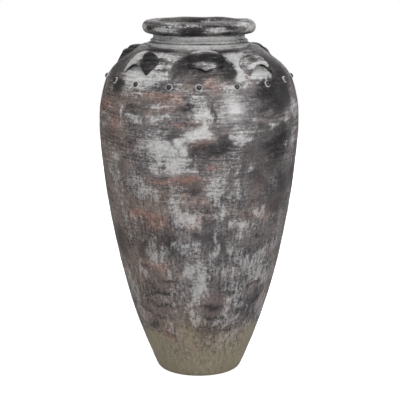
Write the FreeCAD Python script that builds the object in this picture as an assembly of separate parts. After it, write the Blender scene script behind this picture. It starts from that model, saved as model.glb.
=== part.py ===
"""A tall storage jar of fired clay, built as a potter builds it.

The floor slab carries three thrown wall sections, one above the other. A
collar ring closes the shoulder, and the short neck and its rolled rim stand on
the collar. Six strap loops and a ring of clay pellets are pressed onto the
shoulder. The origin is the centre of the foot, +Z is up, and the front of the
jar faces -Y. All lengths are in millimetres and all angles in degrees.
"""
import FreeCAD, Part

import math
import os

# The outside of the wall, from the foot over the belly to the top of the shoulder
foot_radius = 115.0
heel_rounding = 14.0
belly_radius = 279.0
belly_height = 728.0
shoulder_radius = 168.0
shoulder_height = 927.0

# Where one arc of the wall meets the next: shares of height, then of radius, from
# the belly down to the foot, and from the belly up to the shoulder
below_belly_shares = ((0.88, 0.976), (0.33, 0.537), (0.0, 0.0))
above_belly_shares = ((0.513, 0.85), (0.79, 0.5))

# How many bands each arc is turned in, from the foot up, outside and in the hollow
outside_bands = (3, 3, 1, 2, 3)
hollow_bands = (2, 2, 1, 2, 2)
heel_bands = 2

# The wall's body, the flat top that carries the collar, and the joints between the
# thrown sections
wall_thickness = 16.0
ledge_width = 26.6
floor_thickness = 24.0
lower_joint_height = 330.0
upper_joint_height = 655.0

# The collar ring, with a raised bead that the foot of the neck sits inside
collar_overhang = 3.5
collar_edge_height = 5.0
collar_height = 19.0
bead_width = 4.0
bead_height = 3.0
groove_width = 2.0

# The neck and its rolled rim
mouth_radius = 113.0
neck_thickness = 15.0
neck_height = 21.0
neck_flare = 11.0
flare_bands = 2
rim_overhang = 30.0
rim_height = 36.0
rim_bands = 8
rim_inner_rounding = 14.0
rim_inner_bands = 3

# A strap loop. Across the slope it bends round an arch, down the slope it rises to a
# ridge and falls again, and seen square to the slope it is a crescent between an
# upper edge and a lower lip
loop_seat_share = 0.52
loop_stand_off = 21.0
loop_arch_radius = 68.0
shelf_lean_angle = 17.0
lip_lean_angle = -5.0
tunnel_lean_angle = 0.0
loop_foot_reach = 62.0
strap_thickness = 10.0
crescent_radius = 66.0
crescent_rise = 21.0
lip_radius = 52.0
front_strap_width = 60.0
strap_width = 49.0
loop_angles = (6, 47, 127, 180, -115, -47)
loop_names = ("lug_front", "lug_front_right", "lug_back_right", "lug_back", "lug_back_left",
              "lug_front_left")

# The pellets, a clearance below the loops' feet, set by hand and so a little
# unevenly spaced
pellet_clearance = 17.5
pellet_radius = 7.2
pellet_lift = 6.5
pellet_crown = 3.5
pellet_sides = 8
pellet_angles = (0, 23, 46, 67, 88, 111, 134, 157, 180, -157, -134, -111, -87, -63, -41, -18)

# How far cutting shapes run past what they cut
overrun = 20.0

up = FreeCAD.Vector(0, 0, 1)
origin = FreeCAD.Vector(0, 0, 0)


def at(radius, height):
    """Give the point of a radial section at this radius and height."""
    return FreeCAD.Vector(radius, 0, height)


def tangent_arc(start, way, end):
    """Give the arc that leaves start along way and ends at end, and its way there."""
    chord = end - start
    square = FreeCAD.Vector(-way.z, 0, way.x)
    centre = start + square * (chord.dot(chord) / (2 * chord.dot(square)))
    middle = centre + ((start + end) * 0.5 - centre).normalize() * (start - centre).Length
    along = chord * (1 / chord.Length)
    return Part.Arc(start, middle, end), along * (2 * along.dot(way)) - way


def arc_stations(arc, bands):
    """Give the points that part an arc into equal bands, each with its way along."""
    step = (arc.LastParameter - arc.FirstParameter) / bands
    parameters = [arc.FirstParameter + step * number for number in range(bands + 1)]
    return [(arc.value(parameter), arc.tangent(parameter)[0]) for parameter in parameters]


def arc_points(arc, bands):
    """Give the points that part an arc into equal bands, both ends included."""
    return [point for point, way in arc_stations(arc, bands)]


def revolved(corners):
    """Turn the closed radial section through the corners once about the jar's axis."""
    return Part.Face(Part.makePolygon(corners + corners[:1])).revolve(origin, up, 360)


def slab(bottom, top):
    """Give a disc wider than the jar between two heights."""
    return Part.makeCylinder(belly_radius + overrun, top - bottom, at(0, bottom))


def wall_arcs():
    """Give the wall's outside as arcs, from the ground up, each tangent to the next."""
    start, way = at(belly_radius, belly_height), up * -1
    lower = []
    for rise, swell in below_belly_shares:
        end = at(foot_radius + (belly_radius - foot_radius) * swell, belly_height * rise)
        arc, way = tangent_arc(start, way, end)
        lower.insert(0, Part.Arc(*reversed(arc_points(arc, 2))))
        start = end
    start, way = at(belly_radius, belly_height), up
    upper = []
    for rise, width in above_belly_shares:
        end = at(shoulder_radius + (belly_radius - shoulder_radius) * width,
                 belly_height + (shoulder_height - belly_height) * rise)
        arc, way = tangent_arc(start, way, end)
        upper.append(arc)
        start = end
    return lower + upper


def slope_edge():
    """Give the straight slope of the shoulder, from the last arc to the collar."""
    return Part.LineSegment(arc_points(wall_arcs()[-1], 1)[1], at(shoulder_radius, shoulder_height))


def slope_way():
    """Give the direction up the straight slope of the shoulder."""
    return (slope_edge().EndPoint - slope_edge().StartPoint).normalize()


def wall_points(bands, inset):
    """Give points up the wall, parting each arc into bands, moved in by the inset."""
    stations = []
    for arc, count in zip(wall_arcs(), bands):
        stations += arc_stations(arc, count)[:-1]
    stations += [(slope_edge().StartPoint, slope_way()), (slope_edge().EndPoint, slope_way())]
    return [point + FreeCAD.Vector(-way.z, 0, way.x) * inset for point, way in stations]


def envelope():
    """Give the jar's body up to the shoulder's top as one full solid."""
    return revolved([origin] + wall_points(outside_bands, 0) + [at(0, shoulder_height)])


def inside():
    """Give the hollow, one wall inside the outside and open past the shoulder's top."""
    points = wall_points(hollow_bands, wall_thickness)[:-1]
    points += [at(throat_radius(), shoulder_height), at(throat_radius(), shoulder_height + overrun)]
    return revolved([at(0, points[0].z)] + points + [at(0, points[-1].z)])


def throat_radius():
    """Give the radius of the hole in the shoulder's top, under the collar."""
    return shoulder_radius - ledge_width


def loop_seat():
    """Give the point of the slope that the loops' ridges stand over."""
    slope = slope_edge()
    return slope.StartPoint + (slope.EndPoint - slope.StartPoint) * loop_seat_share


def pellet_place():
    """Give the pellets' point on the outline, below the loops, and the way up it there."""
    curves = wall_arcs() + [Part.LineSegment(slope_edge().StartPoint, loop_seat())]
    distance = loop_foot_reach + pellet_clearance + pellet_radius
    while distance > curves[-1].length():
        distance -= curves.pop().length()
    parameter = curves[-1].parameterAtDistance(-distance, curves[-1].LastParameter)
    return curves[-1].value(parameter), curves[-1].tangent(parameter)[0]


def floor_slab(body):
    """Make the floor, its outer edge rounded at the heel."""
    corner, flank = wall_points(outside_bands, 0)[:2]
    low = at(foot_radius - heel_rounding, 0)
    high = corner + (flank - corner).normalize() * heel_rounding
    heel = tangent_arc(low, FreeCAD.Vector(1, 0, 0), high)[0]
    below = [at(high.x, -overrun), at(low.x, -overrun)]
    return body.common(slab(0, floor_thickness)).cut(revolved(arc_points(heel, heel_bands) + below))


def wall_section(body, hollow, bottom, top):
    """Make one thrown section of the wall between two heights."""
    return body.common(slab(bottom, top)).cut(hollow)


def neck_seat():
    """Give the height of the seat that the neck stands on."""
    return shoulder_height + collar_height - bead_height


def collar_ring():
    """Make the collar, from the shoulder's top up to the bead round the neck."""
    seat = neck_seat()
    bead_inside = mouth_radius + neck_thickness + neck_flare + groove_width
    bead_outside = bead_inside + bead_width
    skirt = shoulder_radius + collar_overhang
    return revolved([
        at(throat_radius(), shoulder_height),
        at(skirt, shoulder_height),
        at(skirt, shoulder_height + collar_edge_height),
        at(bead_outside, seat),
        at(bead_outside, seat + bead_height),
        at(bead_inside, seat + bead_height),
        at(bead_inside, seat),
        at(mouth_radius, seat),
    ])


def neck():
    """Make the neck, which flares at its foot towards the bead."""
    foot = neck_seat()
    top = foot + neck_height
    outside = mouth_radius + neck_thickness
    flare = tangent_arc(at(outside, foot + neck_flare), up * -1, at(outside + neck_flare, foot))[0]
    return revolved([at(mouth_radius, top), at(outside, top)] + arc_points(flare, flare_bands)
                    + [at(mouth_radius, foot)])


def rolled_rim():
    """Make the rolled rim, whose outside hangs over the neck."""
    bottom = neck_seat() + neck_height
    top = bottom + rim_height
    half = rim_height / 2
    outer = mouth_radius + neck_thickness + rim_overhang
    roll = Part.Arc(at(outer - half, bottom), at(outer, bottom + half), at(outer - half, top))
    crest = at(mouth_radius + rim_inner_rounding, top)
    throat = at(mouth_radius, top - rim_inner_rounding)
    inner_roll = tangent_arc(crest, FreeCAD.Vector(-1, 0, 0), throat)[0]
    return revolved([at(mouth_radius, bottom)] + arc_points(roll, rim_bands)
                    + arc_points(inner_roll, rim_inner_bands))


def turned(shape, azimuth):
    """Turn a shape of the radial section to its azimuth, which counts from the front."""
    shape.rotate(origin, up, azimuth - 90.0)
    return shape


def loop_arch(lean, radius, stand_off, length):
    """Give a round bar whose top passes over the loop's seat, leaning off the slope."""
    descent = slope_way() * -1
    outwards = FreeCAD.Vector(-descent.z, 0, descent.x)
    angle = math.radians(lean)
    along = descent * math.cos(angle) + outwards * math.sin(angle)
    lifted = outwards * math.cos(angle) - descent * math.sin(angle)
    start = loop_seat() + outwards * stand_off - lifted * radius - along * (2 * crescent_radius)
    return Part.makeCylinder(radius, 2 * crescent_radius + length, start, along)


def loop_disc(radius, top):
    """Give a drum square to the slope whose upper edge is so far down from the loop's seat."""
    descent = slope_way() * -1
    outwards = FreeCAD.Vector(-descent.z, 0, descent.x)
    middle = loop_seat() + descent * (top + radius) - outwards * crescent_radius
    return Part.makeCylinder(radius, 2 * crescent_radius, middle, outwards)


def strap_loop(azimuth, width, carrier):
    """Make one strap loop, so wide at its crest, cut so that its feet sit on the shoulder."""
    shelf = loop_arch(shelf_lean_angle, loop_arch_radius, loop_stand_off, 2 * crescent_radius)
    brow = loop_arch(lip_lean_angle, loop_arch_radius, loop_stand_off, loop_foot_reach)
    tunnel = loop_arch(tunnel_lean_angle, loop_arch_radius - strap_thickness,
                       loop_stand_off - strap_thickness, 2 * crescent_radius)
    crescent = loop_disc(crescent_radius, -crescent_rise)
    under_lip = loop_disc(lip_radius, width - crescent_rise)
    strap = shelf.common(brow).common(crescent).cut(tunnel).cut(under_lip).cut(carrier)
    return turned(strap, azimuth)


def pellet_outline(centre, outwards, radius):
    """Give a pellet's few-sided outline round a centre."""
    corners = Part.makeCircle(radius, centre, outwards).discretize(pellet_sides + 1)
    return Part.makePolygon(corners[:-1] + corners[:1])


def pellet_ring(body):
    """Make the ring of pellets, each a button of clay pressed against the wall."""
    seat, way = pellet_place()
    outwards = FreeCAD.Vector(way.z, 0, -way.x)
    button = Part.makeLoft([
        pellet_outline(seat - outwards * pellet_radius, outwards, pellet_radius),
        pellet_outline(seat + outwards * (pellet_lift - pellet_crown), outwards, pellet_radius),
        pellet_outline(seat + outwards * pellet_lift, outwards, pellet_radius - pellet_crown),
    ], True, True)
    pellet = button.cut(body).Solids[0]
    return Part.makeCompound([turned(pellet.copy(), azimuth) for azimuth in pellet_angles])


def save(name, shape):
    """Write one named piece."""
    shape.exportStep("parts/" + name + ".step")


def main():
    """Build every piece and write it."""
    os.makedirs("parts", exist_ok=True)
    body = envelope()
    hollow = inside()
    collar = collar_ring()
    carrier = body.fuse(collar)
    save("floor_slab", floor_slab(body))
    save("lower_wall", wall_section(body, hollow, floor_thickness, lower_joint_height))
    save("belly_wall", wall_section(body, hollow, lower_joint_height, upper_joint_height))
    save("shoulder_wall", wall_section(body, hollow, upper_joint_height, shoulder_height))
    save("collar_ring", collar)
    save("neck", neck())
    save("rolled_rim", rolled_rim())
    for name, azimuth in zip(loop_names, loop_angles):
        width = front_strap_width if name == "lug_front" else strap_width
        save(name, strap_loop(azimuth, width, carrier))
    save("pellets", pellet_ring(body))


main()
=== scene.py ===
"""A tall clay pithos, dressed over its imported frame.

Lengths are metres in the jar's own frame: +Z is up and the front faces -Y.
Azimuths are degrees from the front, positive towards +X. A point of a turned
section is the complex number radius + i height.
"""
import logging
import math
from dataclasses import dataclass
from enum import Enum

import bpy
import numpy as np
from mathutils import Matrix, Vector


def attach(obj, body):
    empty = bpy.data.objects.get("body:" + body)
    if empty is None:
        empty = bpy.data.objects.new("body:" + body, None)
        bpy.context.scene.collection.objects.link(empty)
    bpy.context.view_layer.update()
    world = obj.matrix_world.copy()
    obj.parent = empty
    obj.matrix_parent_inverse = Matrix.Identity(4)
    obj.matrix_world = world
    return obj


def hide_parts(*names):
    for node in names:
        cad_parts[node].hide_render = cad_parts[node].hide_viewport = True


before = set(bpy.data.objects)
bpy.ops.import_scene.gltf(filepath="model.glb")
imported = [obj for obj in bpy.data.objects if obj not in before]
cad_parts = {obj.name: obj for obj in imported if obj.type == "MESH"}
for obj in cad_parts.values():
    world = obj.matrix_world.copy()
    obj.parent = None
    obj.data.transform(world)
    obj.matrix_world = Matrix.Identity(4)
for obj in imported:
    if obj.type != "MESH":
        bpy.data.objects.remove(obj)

MM = 0.001
LOG = logging.getLogger("pithos")

WALL_NODES = ("floor_slab", "lower_wall", "belly_wall", "shoulder_wall")
PELLET_AZIMUTHS = (0, 23, 46, 67, 88, 111, 134, 157, 180, -157, -134, -111, -87, -63, -41, -18)


class Slot(Enum):
    """The record's material slots."""

    WALL = "washed_clay"
    PALE = "pale_clay"
    DARK = "dark_clay"


class Tone(Enum):
    """What a patch lays on the clay, each a layer of the finish; on three loops the pale layer also carries
    painted light.
    """

    PALE = "pale"
    SOOT = "soot"
    RUST = "rust"
    BARE = "bare"
    EARTH = "earth"
    SATIN = "satin"


def smooth(low: float, high: float, value: np.ndarray) -> np.ndarray:
    """Ease from 0 at low to 1 at high with 3t^2 - 2t^3."""
    share = np.clip((value - low) / (high - low), 0.0, 1.0)
    return share * share * (3.0 - 2.0 * share)


def bell(away: np.ndarray, width: float, power: int = 2) -> np.ndarray:
    """Give e to the minus (away / width)^power, 1 in the middle and 0 far off."""
    return np.exp(-(away / width) ** power)


def facing(azimuth: np.ndarray) -> np.ndarray:
    """Give the unit horizontal direction of each azimuth as x, y, z."""
    turn = np.radians(azimuth)
    return np.stack([np.sin(turn), -np.cos(turn), np.zeros_like(turn)], axis=-1)


def turned(azimuth: np.ndarray, radius: np.ndarray, height: np.ndarray) -> np.ndarray:
    """Give the points at so many degrees, so far from the axis and so high.

    Args:
        azimuth: degrees from the front.
        radius: metres from the axis.
        height: metres over the ground.

    Returns:
        The points as x, y, z.
    """
    points = radius[..., None] * facing(azimuth)
    points[..., 2] = height
    return points


def all_round(count: int, whole: float) -> np.ndarray:
    """Give a row of equal steps round a whole turn, without its end."""
    return np.linspace(0.0, whole, count, endpoint=False)[None, :]


def tangent_arc(start: complex, way: complex, end: complex, count: int) -> tuple[np.ndarray, complex]:
    """Give points on the arc that leaves start along way and ends at end.

    The arc turns through twice the angle between way and the chord, and its
    radius is half the chord over the sine of half that turn.

    Args:
        start: where the arc leaves.
        way: the unit direction it leaves in.
        end: where it ends.
        count: how many equal steps it is given in.

    Returns:
        The points with both ends, and the direction at the end.
    """
    chord = end - start
    turn = 2.0 * np.angle(chord / way)
    radius = abs(chord) / (2.0 * math.sin(turn / 2.0))
    swept = np.linspace(0.0, turn, count + 1)
    points = start + radius * way * (np.sin(swept) + 1j * (1.0 - np.cos(swept)))
    return points, way * np.exp(1j * turn)


def run_along(points: np.ndarray) -> np.ndarray:
    """Give the way along an open outline to each of its points."""
    return np.concatenate([[0.0], np.cumsum(np.abs(np.diff(points)))])


def evenly(points: np.ndarray, spacing: float) -> np.ndarray:
    """Walk an open outline in even steps.

    Args:
        points: the outline.
        spacing: about how long a step is.

    Returns:
        Points on the outline with both its ends.
    """
    run = run_along(points)
    count = max(2, int(round(run[-1] / spacing)))
    return np.interp(np.linspace(0.0, run[-1], count + 1), run, points)


@dataclass(frozen=True)
class Waves:
    """Uneven hand-made clay, as a sum of seeded waves round and up the jar."""

    seed: int
    depth: float
    most_around: int
    shortest: float
    longest: float
    count: int = 28

    def at(self, azimuth: np.ndarray, height: np.ndarray) -> np.ndarray:
        """Sum sines of whole turns round the jar and of random pitches up it.

        Args:
            azimuth: degrees, any shape.
            height: metres, the same shape.

        Returns:
            The swell of the surface in metres, about depth deep.
        """
        draw = np.random.default_rng(self.seed)
        around = draw.integers(0, self.most_around + 1, self.count)
        pitches = 2 * np.pi / draw.uniform(self.shortest, self.longest, self.count)
        pitches *= draw.choice((-1, 1), self.count)
        phases = draw.uniform(0, 2 * np.pi, self.count)
        total = np.zeros(np.broadcast(azimuth, height).shape)
        for turns, pitch, phase in zip(around, pitches, phases):
            total += np.sin(turns * np.radians(azimuth) + pitch * height + phase)
        return self.depth * math.sqrt(2.0 / self.count) * total


# A patch is whole up to the first share of its half size and gone at the second.
FADE_SHARES = (0.3, 1.45)


@dataclass(frozen=True)
class Patch:
    """One patch of wash, or on some loops of painted light, laid where the photograph shows it.

    On the wall its place is an azimuth in degrees and a height in millimetres. On a
    strap loop it is millimetres aside of the middle and millimetres down from the
    ridge. Length and width are millimetres, and the tilt is in degrees.
    """

    along: float
    up: float
    length: float
    width: float
    strength: float = 1.0
    tilt: float = 0.0

    def cover(self, aside: np.ndarray, rise: np.ndarray) -> np.ndarray:
        """Give how far the patch covers each point of the surface.

        The patch is a rounded box: it fades with the cube root of the sum of the
        cubes of the shares of its half length and half width.

        Args:
            aside: millimetres of each point along from the patch's middle.
            rise: millimetres of each point up from it.

        Returns:
            Cover from 0 to the patch's strength.
        """
        turn = math.radians(self.tilt)
        across = (rise * math.cos(turn) - aside * math.sin(turn)) / (self.width / 2)
        along = (aside * math.cos(turn) + rise * math.sin(turn)) / (self.length / 2)
        away = (np.abs(along) ** 3 + np.abs(across) ** 3) ** (1 / 3)
        return self.strength * (1.0 - smooth(*FADE_SHARES, away))


# The values of each patch in the order of its fields.
PATCHES: dict[Tone, tuple[tuple[float, ...], ...]] = {
    Tone.PALE: (
        # On the mouth and right under it.
        (0, 936, 460, 8, 0.8), (180, 936, 460, 8, 0.6), (0, 953, 330, 22, 0.75), (14, 956, 90, 14, 0.8),
        (-4, 955, 24, 14, 0.4), (120, 953, 260, 22, 0.7), (-120, 953, 260, 22, 0.8),
        (-30, 938, 200, 10, 0.75), (35, 936, 200, 12, 0.55), (150, 936, 260, 12, 0.5),
        (-130, 936, 260, 12, 0.5), (-34, 980, 90, 18, 0.4, -3), (17, 980, 84, 18, 0.4),
        (74, 982, 110, 34, 0.6), (-74, 978, 60, 24, 0.5), (-20, 993, 120, 12, 0.35),
        (45, 994, 90, 10, 0.4), (-32, 914, 110, 30, 0.45), (31, 900, 60, 40, 0.7),
        (33, 921, 90, 14, 0.35), (52, 915, 60, 24, 0.3), (-60, 905, 60, 30, 0.45),
        (140, 985, 200, 20, 0.5), (-150, 978, 160, 12, 0.6),
        # On the shoulder and the belly.
        (-9, 690, 30, 44, 1.1), (-1, 722, 66, 26, 1.0, 10), (2, 735, 34, 24, 0.7),
        (2, 775, 76, 36, 0.5, -62), (-20, 690, 60, 40, 0.7), (-13, 640, 90, 50, 0.55),
        (-26, 690, 90, 90, 0.35), (-24, 655, 30, 90, 0.4), (-15, 560, 50, 120, 0.35),
        (-27, 796, 110, 14, 0.45, 4), (-20, 770, 60, 16, 0.5, 14), (-38, 762, 60, 16, 0.6, -4),
        (-49, 765, 12, 50, 0.6), (-39, 868, 130, 40, 0.65), (-24, 880, 40, 50, 0.3),
        (29, 872, 40, 46, 0.85), (44, 878, 70, 34, 1.1), (18, 838, 60, 40, 0.35),
        (25, 705, 70, 30, 0.5, 6), (20, 740, 30, 60, 0.35), (52, 742, 80, 16, 0.5, 10),
        (45, 728, 24, 20, 0.5), (70, 700, 40, 90, 0.3), (32, 640, 40, 40, 0.4), (20, 660, 60, 60, 0.3),
        # Below the belly.
        (-1, 278, 34, 80, 0.95), (-8, 342, 44, 56, 0.6), (2, 335, 30, 70, 0.45), (27, 268, 56, 80, 0.45),
        (20, 240, 24, 30, 0.5), (46, 330, 80, 120, 0.22), (44, 372, 70, 10, 0.45, 24),
        (48, 322, 80, 10, 0.45, 20), (33, 350, 60, 60, 0.35), (-9, 505, 44, 60, 0.4),
        (24, 475, 60, 34, 0.4), (28, 440, 24, 50, 0.35, 30), (12, 520, 30, 90, 0.35),
        (22, 590, 24, 110, 0.35), (-24, 400, 20, 120, 0.3), (10, 380, 16, 140, 0.3),
        (-44, 330, 16, 70, 0.4, 30), (-50, 430, 60, 60, 0.2), (-58, 620, 60, 130, 0.35),
        (-30, 560, 60, 40, 0.3), (-4, 190, 24, 60, 0.5), (-60, 250, 40, 90, 0.35),
        (60, 200, 50, 120, 0.35), (45, 160, 40, 60, 0.25), (58, 400, 40, 60, 0.25, 40),
    ),
    Tone.SOOT: (
        # On the mouth and right under it.
        (0, 941, 460, 3, 1.3), (180, 941, 460, 3, 1.3), (0, 984, 460, 44, 0.2), (-42, 952, 80, 14, 0.6),
        (-15, 950, 40, 6, 0.6), (40, 951, 40, 7, 0.5), (60, 953, 50, 18, 0.6), (0, 962, 360, 5, 0.7),
        (-6, 980, 66, 32, 1.0), (12, 991, 50, 7, 0.8), (-30, 988, 40, 8, 0.7), (33, 987, 40, 12, 0.9),
        (33, 971, 56, 8, 0.9), (-40, 992, 60, 9, 0.8), (-58, 983, 40, 12, 0.6), (-20, 967, 160, 5, 0.8),
        (60, 968, 90, 6, 0.5), (110, 985, 70, 20, 0.8), (-110, 980, 90, 24, 0.8),
        (175, 990, 140, 16, 0.8), (-40, 928, 120, 8, 0.9), (30, 928, 90, 7, 0.7), (4, 926, 110, 8, 0.8),
        # On the shoulder and the belly.
        (5, 892, 140, 44, 1.1), (-15, 880, 46, 36, 0.6), (-25, 884, 44, 9, 0.5), (26, 876, 34, 9, 0.5),
        (4, 867, 90, 8, 0.45), (-14, 897, 30, 24, 0.8), (19, 880, 34, 60, 1.0), (17, 902, 50, 36, 1.1),
        (-8, 905, 44, 34, 1.1), (4, 860, 110, 16, 0.6), (-38, 905, 50, 14, 0.6), (-27, 872, 24, 50, 0.45),
        (-27, 900, 60, 12, 0.6), (-62, 915, 60, 20, 0.7), (47, 832, 100, 50, 0.9), (52, 790, 60, 60, 0.6),
        (48, 815, 150, 80, 0.55), (40, 790, 120, 12, 0.5, 3), (42, 765, 110, 10, 0.5),
        (62, 810, 50, 90, 0.6), (-7, 797, 66, 16, 0.8, 4), (-13, 775, 40, 9, 0.45, 6),
        (-11, 765, 30, 8, 0.4), (7.5, 780, 92, 13, 0.75, -62), (8, 683, 110, 46, 0.45),
        (4, 691, 90, 9, 0.5, 4), (12, 677, 100, 8, 0.5, -3), (6, 667, 70, 7, 0.45),
        (20, 690, 120, 90, 0.35), (42, 690, 140, 130, 0.4), (36, 600, 170, 120, 0.3),
        (52, 640, 90, 160, 0.35), (60, 720, 90, 60, 0.4), (48, 540, 120, 90, 0.25),
        (62, 850, 90, 50, 0.8), (70, 880, 80, 60, 0.7), (-68, 870, 60, 50, 0.5), (12, 712, 40, 30, 0.5),
        (-3, 668, 20, 40, 0.5), (50, 690, 110, 22, 0.8, 5), (58, 705, 60, 8, 0.5, 5),
        (52, 662, 100, 26, 0.4, 3), (48, 668, 90, 8, 0.6, 4), (54, 655, 80, 7, 0.6, 2),
        (36, 735, 40, 26, 0.5), (-58, 838, 70, 34, 0.7), (-30, 735, 120, 30, 0.3),
        (-13, 722, 36, 40, 0.5),
        # Below the belly.
        (-30, 280, 90, 110, 0.25), (-34, 205, 80, 70, 0.22), (12, 212, 70, 60, 0.25),
        (13, 285, 30, 120, 0.3), (-28, 266, 80, 12, 0.6, 3), (-34, 232, 90, 10, 0.6, -3),
        (-20, 303, 60, 12, 0.5), (-42, 340, 50, 12, 0.5), (-30, 188, 70, 12, 0.5, 4),
        (-46, 160, 90, 14, 0.5, 3), (-30, 142, 70, 12, 0.5, -3), (20, 148, 60, 12, 0.4, 4),
        (-52, 205, 60, 12, 0.5, -4), (52, 235, 70, 12, 0.5, 4), (48, 180, 70, 14, 0.45),
        (14, 196, 70, 12, 0.6), (9, 228, 60, 10, 0.6), (34, 205, 60, 12, 0.5), (30, 160, 90, 40, 0.4, 10),
        (5, 150, 50, 26, 0.4), (42, 285, 70, 16, 0.7, 12), (15, 420, 170, 60, 0.4),
        (-24, 420, 120, 80, 0.4), (-10, 565, 90, 26, 0.45), (8, 480, 80, 40, 0.45),
        (55, 480, 70, 80, 0.5), (60, 560, 70, 110, 0.5), (-62, 400, 60, 120, 0.45),
        (72, 620, 40, 160, 0.4), (35, 600, 50, 60, 0.3),
    ),
    Tone.RUST: (
        (-66, 782, 70, 36, 0.9), (-78, 765, 40, 60, 1.0), (-55, 745, 60, 70, 0.4),
        (-19, 822, 130, 18, 0.6, 2), (-10, 750, 60, 12, 0.9, 8), (-10, 602, 160, 14, 0.8, 4),
        (-20, 590, 90, 16, 0.7), (6, 632, 50, 10, 0.8), (-9, 556, 24, 10, 0.9, 20),
        (-36, 492, 140, 24, 0.8, -2), (-26, 470, 80, 30, 0.7), (-30, 345, 70, 34, 0.6),
        (-32, 135, 44, 60, 0.6), (11, 852, 50, 14, 0.5), (37, 575, 30, 30, 0.5, 30),
        (32, 492, 90, 16, 0.5, 6), (55, 745, 70, 14, 0.45, 8), (-40, 690, 60, 60, 0.3),
        (12, 215, 30, 40, 0.35), (-6, 100, 60, 24, 0.35), (5, 540, 60, 20, 0.4),
    ),
    Tone.EARTH: (
        (-62, 640, 170, 420, 0.8), (-58, 300, 150, 320, 0.8), (-38, 480, 170, 160, 0.7),
        (-30, 320, 120, 160, 0.5), (-20, 560, 220, 130, 0.45), (-35, 800, 170, 60, 0.5),
        (0, 130, 300, 120, 0.6), (-15, 200, 160, 120, 0.5), (40, 120, 200, 80, 0.5),
        (30, 500, 150, 60, 0.3), (4, 855, 130, 50, 0.4), (180, 420, 500, 520, 0.4),
    ),
    Tone.SATIN: (
        (12, 953, 70, 22, 0.7), (19, 790, 150, 90, 1.0, -10), (24, 835, 90, 60, 0.7),
        (30, 745, 110, 60, 0.6), (60, 800, 110, 110, 0.6),
    ),
    Tone.BARE: (
        (-8, 160, 60, 90, 0.6), (-50, 110, 90, 60, 0.7), (60, 120, 90, 60, 0.6),
        (-26, 180, 40, 40, 0.5, 30),
    ),
}

LOOP_PATCHES: dict[str, dict[Tone, tuple[tuple[float, ...], ...]]] = {
    "lug_front": {
        # On the front loop the first pale patch is painted light on the shelf that faces up.
        Tone.PALE: ((0, -17, 92, 18, 0.8), (-14, 35, 36, 12, 0.22), (17, 40, 40, 13, 0.22)),
        Tone.SOOT: ((0, 14, 120, 30, 1.2), (-50, 36, 40, 90, 1.2), (50, 36, 40, 90, 1.2)),
    },
    "lug_front_left": {
        # On the left front loop the big pale patch is pale wash and painted light on the left facet, and the
        # small one on the right foot is a painted highlight.
        Tone.PALE: ((-38, 10, 84, 84, 1.6), (58, 60, 12, 24, 0.6)),
        Tone.SOOT: ((24, 2, 32, 50, 1.2), (38, 26, 32, 60, 1.3), (50, 48, 24, 40, 1.3)),
    },
    "lug_front_right": {
        # On the right front loop the first pale patch is a painted highlight along the lip's edge.
        Tone.PALE: ((-2, 26, 76, 12, 1.3), (-34, 6, 30, 30, 0.4), (12, 2, 50, 16, 0.3)),
        Tone.SOOT: ((42, 20, 26, 60, 0.7), (6, -18, 80, 16, 0.9), (-22, 4, 40, 14, 0.5)),
    },
    "lug_back_left": {Tone.PALE: ((-20, 0, 50, 40, 0.6),), Tone.SOOT: ((34, 10, 40, 60, 1.0),)},
    "lug_back_right": {Tone.PALE: ((25, 0, 30, 40, 0.3),), Tone.SOOT: ((-14, 10, 90, 70, 1.2),)},
    "lug_back": {Tone.PALE: ((0, -10, 80, 20, 0.8),), Tone.SOOT: ((0, 12, 80, 26, 0.9),)},
}

# How many of a scatter's patches a tone gets, as a share, and how strong they are.
SCATTER_SHARES: dict[Tone, tuple[float, tuple[float, float]]] = {
    Tone.PALE: (1.0, (0.3, 0.9)),
    Tone.SOOT: (0.8, (0.4, 0.9)),
    Tone.RUST: (0.5, (0.35, 0.9)),
    Tone.BARE: (0.1, (0.4, 0.7)),
    Tone.EARTH: (0.3, (0.3, 0.7)),
    Tone.SATIN: (0.08, (0.4, 0.8)),
}


@dataclass(frozen=True)
class ScatterPatches:
    """Seeded patches between two azimuths, in the manner of the ones in front.

    Heights, lengths and widths are millimetres. A patch low on the wall is more
    often upright, and above all_level_above none is.
    """

    seed: int
    first_azimuth: float
    last_azimuth: float
    count: int
    force: float
    heights: tuple[float, float] = (110.0, 900.0)
    bare_heights: tuple[float, float] = (110.0, 220.0)
    lengths: tuple[float, float] = (26.0, 130.0)
    widths: tuple[float, float] = (14.0, 70.0)
    tilt_spread: float = 9.0
    all_level_above: float = 800.0

    def make(self, tone: Tone) -> tuple[Patch, ...]:
        """Draw the patches of one tone.

        Args:
            tone: the layer that the patches belong to.

        Returns:
            The patches.
        """
        share, strengths = SCATTER_SHARES[tone]
        draw = np.random.default_rng(self.seed + len(tone.value))
        count = int(self.count * share)
        azimuths = draw.uniform(self.first_azimuth, self.last_azimuth, count)
        heights = draw.uniform(*(self.bare_heights if tone is Tone.BARE else self.heights), count)
        lengths = draw.uniform(*self.lengths, count)
        widths = draw.uniform(*self.widths, count)
        tilts = draw.normal(0.0, self.tilt_spread, count)
        tilts += 90.0 * (draw.uniform(0.0, self.all_level_above, count) > heights)
        forces = draw.uniform(*strengths, count) * self.force
        return tuple(Patch(*values) for values in zip(azimuths, heights, lengths, widths, forces, tilts))


SCATTERS = (
    ScatterPatches(seed=41, first_azimuth=80.0, last_azimuth=280.0, count=84, force=1.0),
    ScatterPatches(seed=97, first_azimuth=-78.0, last_azimuth=78.0, count=90, force=0.38),
)
RAGGED_ASIDE = Waves(seed=51, depth=6 * MM, most_around=26, shortest=0.05, longest=0.16)
RAGGED_UP = Waves(seed=52, depth=4 * MM, most_around=26, shortest=0.05, longest=0.16)
RAGGED_FINE = Waves(seed=53, depth=2.5 * MM, most_around=90, shortest=0.016, longest=0.05, count=44)
# Between these heights the edges of the patches grow even, for the narrow bands of the mouth.
EVEN_EDGES = (0.90, 0.93)
# Nearer to the axis than this, the waves turn the edge of a patch no further.
LEAST_RADIUS = 0.05


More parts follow.
